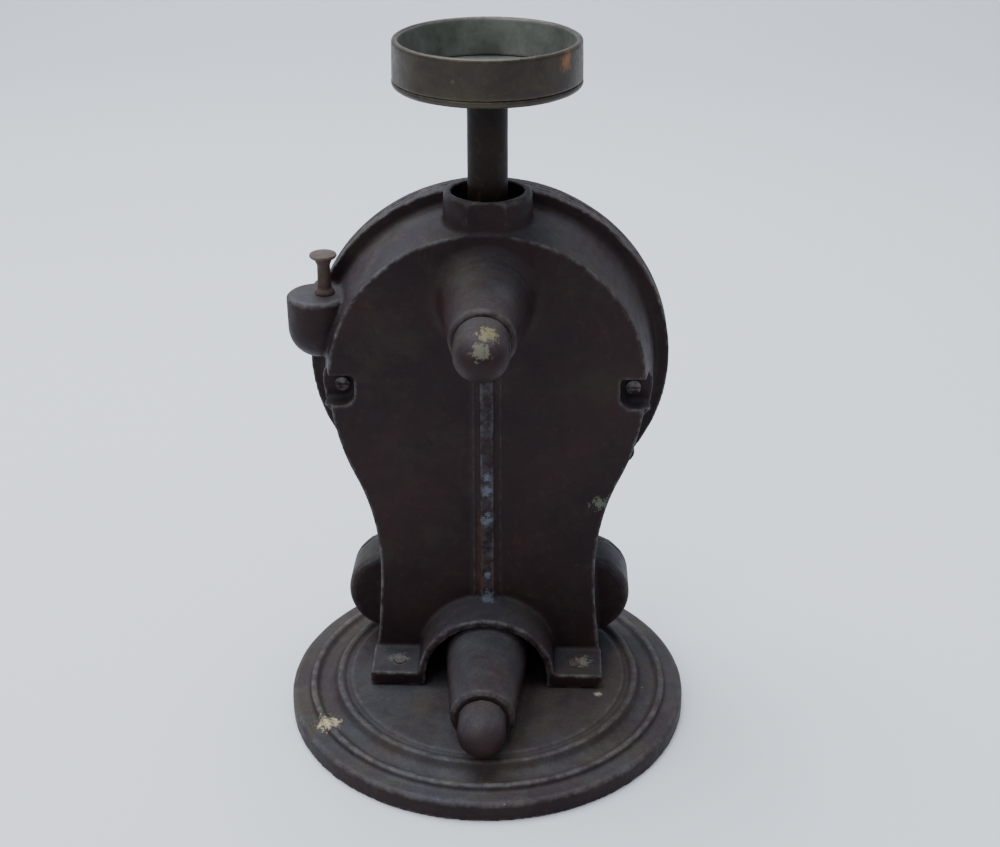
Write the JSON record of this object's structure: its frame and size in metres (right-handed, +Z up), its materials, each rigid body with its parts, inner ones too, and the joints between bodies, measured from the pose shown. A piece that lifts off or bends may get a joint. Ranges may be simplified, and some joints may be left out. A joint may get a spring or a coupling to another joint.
{
  "type": "pedestal spring scale",
  "caption": "Cast pedestal spring scale: round base, waisted drum casing with two check-link cones, sprung stem with a pan seat, rack-driven dial pointer and zero screw.",
  "frame": {"origin": "centre of the round base's underside, on the surface it stands on", "axes": "+Z up along the stem; the plain back with the two cones faces -Y; the dial faces +Y; +X is to the right seen from the back"},
  "size_m": [0.18, 0.18, 0.3],
  "materials": {
    "base_iron": "satin",
    "casing_iron": "satin",
    "bezel_iron": "satin",
    "seat_iron": "satin",
    "stem_steel": "satin",
    "forged_iron": "satin",
    "worn_steel": "satin",
    "bright_steel": "satin",
    "movement_brass": "satin",
    "dial_enamel": "gloss",
    "dial_black": "satin",
    "dial_glass": "gloss"
  },
  "bodies": {
    "frame": {"base": "base_iron", "rear_casing": "casing_iron", "front_plate": "casing_iron", "bezel": "bezel_iron", "glass": "dial_glass", "glass_spacer": "movement_brass", "dial_plate": "dial_enamel", "dial_marks": "dial_black", "upper_nose_plug": "casing_iron", "lower_nose_plug": "casing_iron", "casing_screws": "casing_iron", "ear_bolts": "worn_steel", "foot_bolts": "worn_steel", "bezel_screws": "movement_brass", "dial_rivets": "movement_brass", "movement_bridge": "movement_brass", "bridge_posts": "movement_brass", "bridge_screws": "bright_steel", "front_bush": "movement_brass", "rear_bush": "movement_brass", "upper_pivot_pin": "bright_steel", "lower_pivot_pin": "bright_steel", "beam_pivot_pin": "bright_steel"},
    "carrier": {"pan_cup": "seat_iron", "seat_plate": "seat_iron", "cup_screw": "bright_steel", "stem": "stem_steel", "carrier_frame": "forged_iron", "rack": "movement_brass", "rack_screws": "bright_steel", "upper_link_pin": "bright_steel", "lower_link_pin": "bright_steel"},
    "pointer_arbor": {"arbor": "bright_steel", "pinion": "movement_brass", "pointer_hub": "movement_brass", "pointer": "dial_black"},
    "upper_link": {"upper_check_link": "forged_iron"},
    "lower_link": {"lower_check_link": "forged_iron"},
    "zero_screw": {"zero_screw": "worn_steel"},
    "zero_beam": {"zero_beam": "forged_iron", "zero_nut": "movement_brass", "main_springs": "bright_steel"}
  },
  "joints": [
    {"name": "stem_slide", "type": "slide", "parent": "frame", "child": "carrier", "axis": [0, 0, -1], "range_m": [0, 0.014], "stiffness_N_per_m": 7000, "springref_m": -0.0011, "deforming": ["main_springs"]},
    {"name": "pointer_spin", "type": "hinge", "parent": "frame", "child": "pointer_arbor", "pos_m": [0, 0.03, 0.1555], "axis": [0, -1, 0], "range_deg": [0, 321.5]},
    {"name": "upper_link_swing", "type": "hinge", "parent": "frame", "child": "upper_link", "pos_m": [0, -0.044, 0.195], "axis": [-1, 0, 0], "range_deg": [0, 11.9]},
    {"name": "lower_link_swing", "type": "hinge", "parent": "frame", "child": "lower_link", "pos_m": [0, -0.044, 0.027], "axis": [-1, 0, 0], "range_deg": [0, 11.9]},
    {"name": "zero_screw_turn", "type": "hinge", "parent": "frame", "child": "zero_screw", "pos_m": [-0.07, 0.024, 0.19], "axis": [0, 0, 1], "range_deg": [-540, 540]},
    {"name": "zero_beam_tilt", "type": "hinge", "parent": "frame", "child": "zero_beam", "pos_m": [0.05, 0.031, 0.178], "axis": [0, 1, 0], "range_deg": [-0.72, 0.72]}
  ],
  "couplings": [
    {"joint": "pointer_spin", "follows": "stem_slide", "rad_per_m": 400},
    {"joint": "upper_link_swing", "follows": "stem_slide", "rad_per_m": 14.706},
    {"joint": "lower_link_swing", "follows": "stem_slide", "rad_per_m": 14.706},
    {"joint": "zero_screw_turn", "follows": "zero_beam_tilt", "ratio": -753.98}
  ]
}
